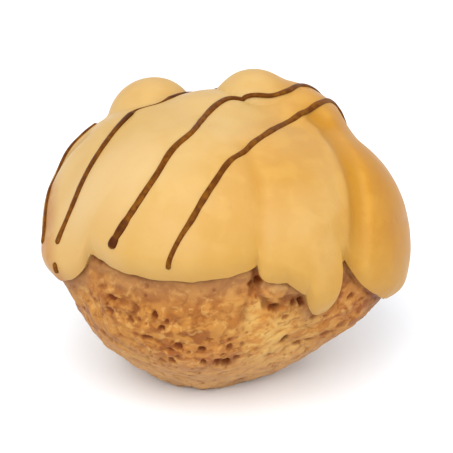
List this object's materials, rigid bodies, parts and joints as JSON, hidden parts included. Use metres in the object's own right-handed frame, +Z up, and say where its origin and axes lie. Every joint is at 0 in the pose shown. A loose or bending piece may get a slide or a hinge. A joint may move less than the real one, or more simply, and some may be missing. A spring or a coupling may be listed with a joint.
{
  "type": "cream puff",
  "caption": "Round choux bun with an uneven cap of caramel-coloured fondant icing and thin hand-drawn chocolate lines.",
  "frame": {"origin": "middle of the bounding box in plan, on the surface the bun rests on", "axes": "+Z up; -Y towards the side that shows most bare crust and faces the viewer; +X to the viewer's right"},
  "size_m": [0.067, 0.0622, 0.0531],
  "materials": {
    "choux_crust": "baked choux crust, matt to satin, orange-brown with dark pits",
    "fondant_icing": "set poured fondant, satin, pale caramel",
    "chocolate_line": "set dark chocolate, satin"
  },
  "bodies": {
    "root": {"choux_bun": "choux_crust", "icing": "fondant_icing"}
  },
  "joints": []
}
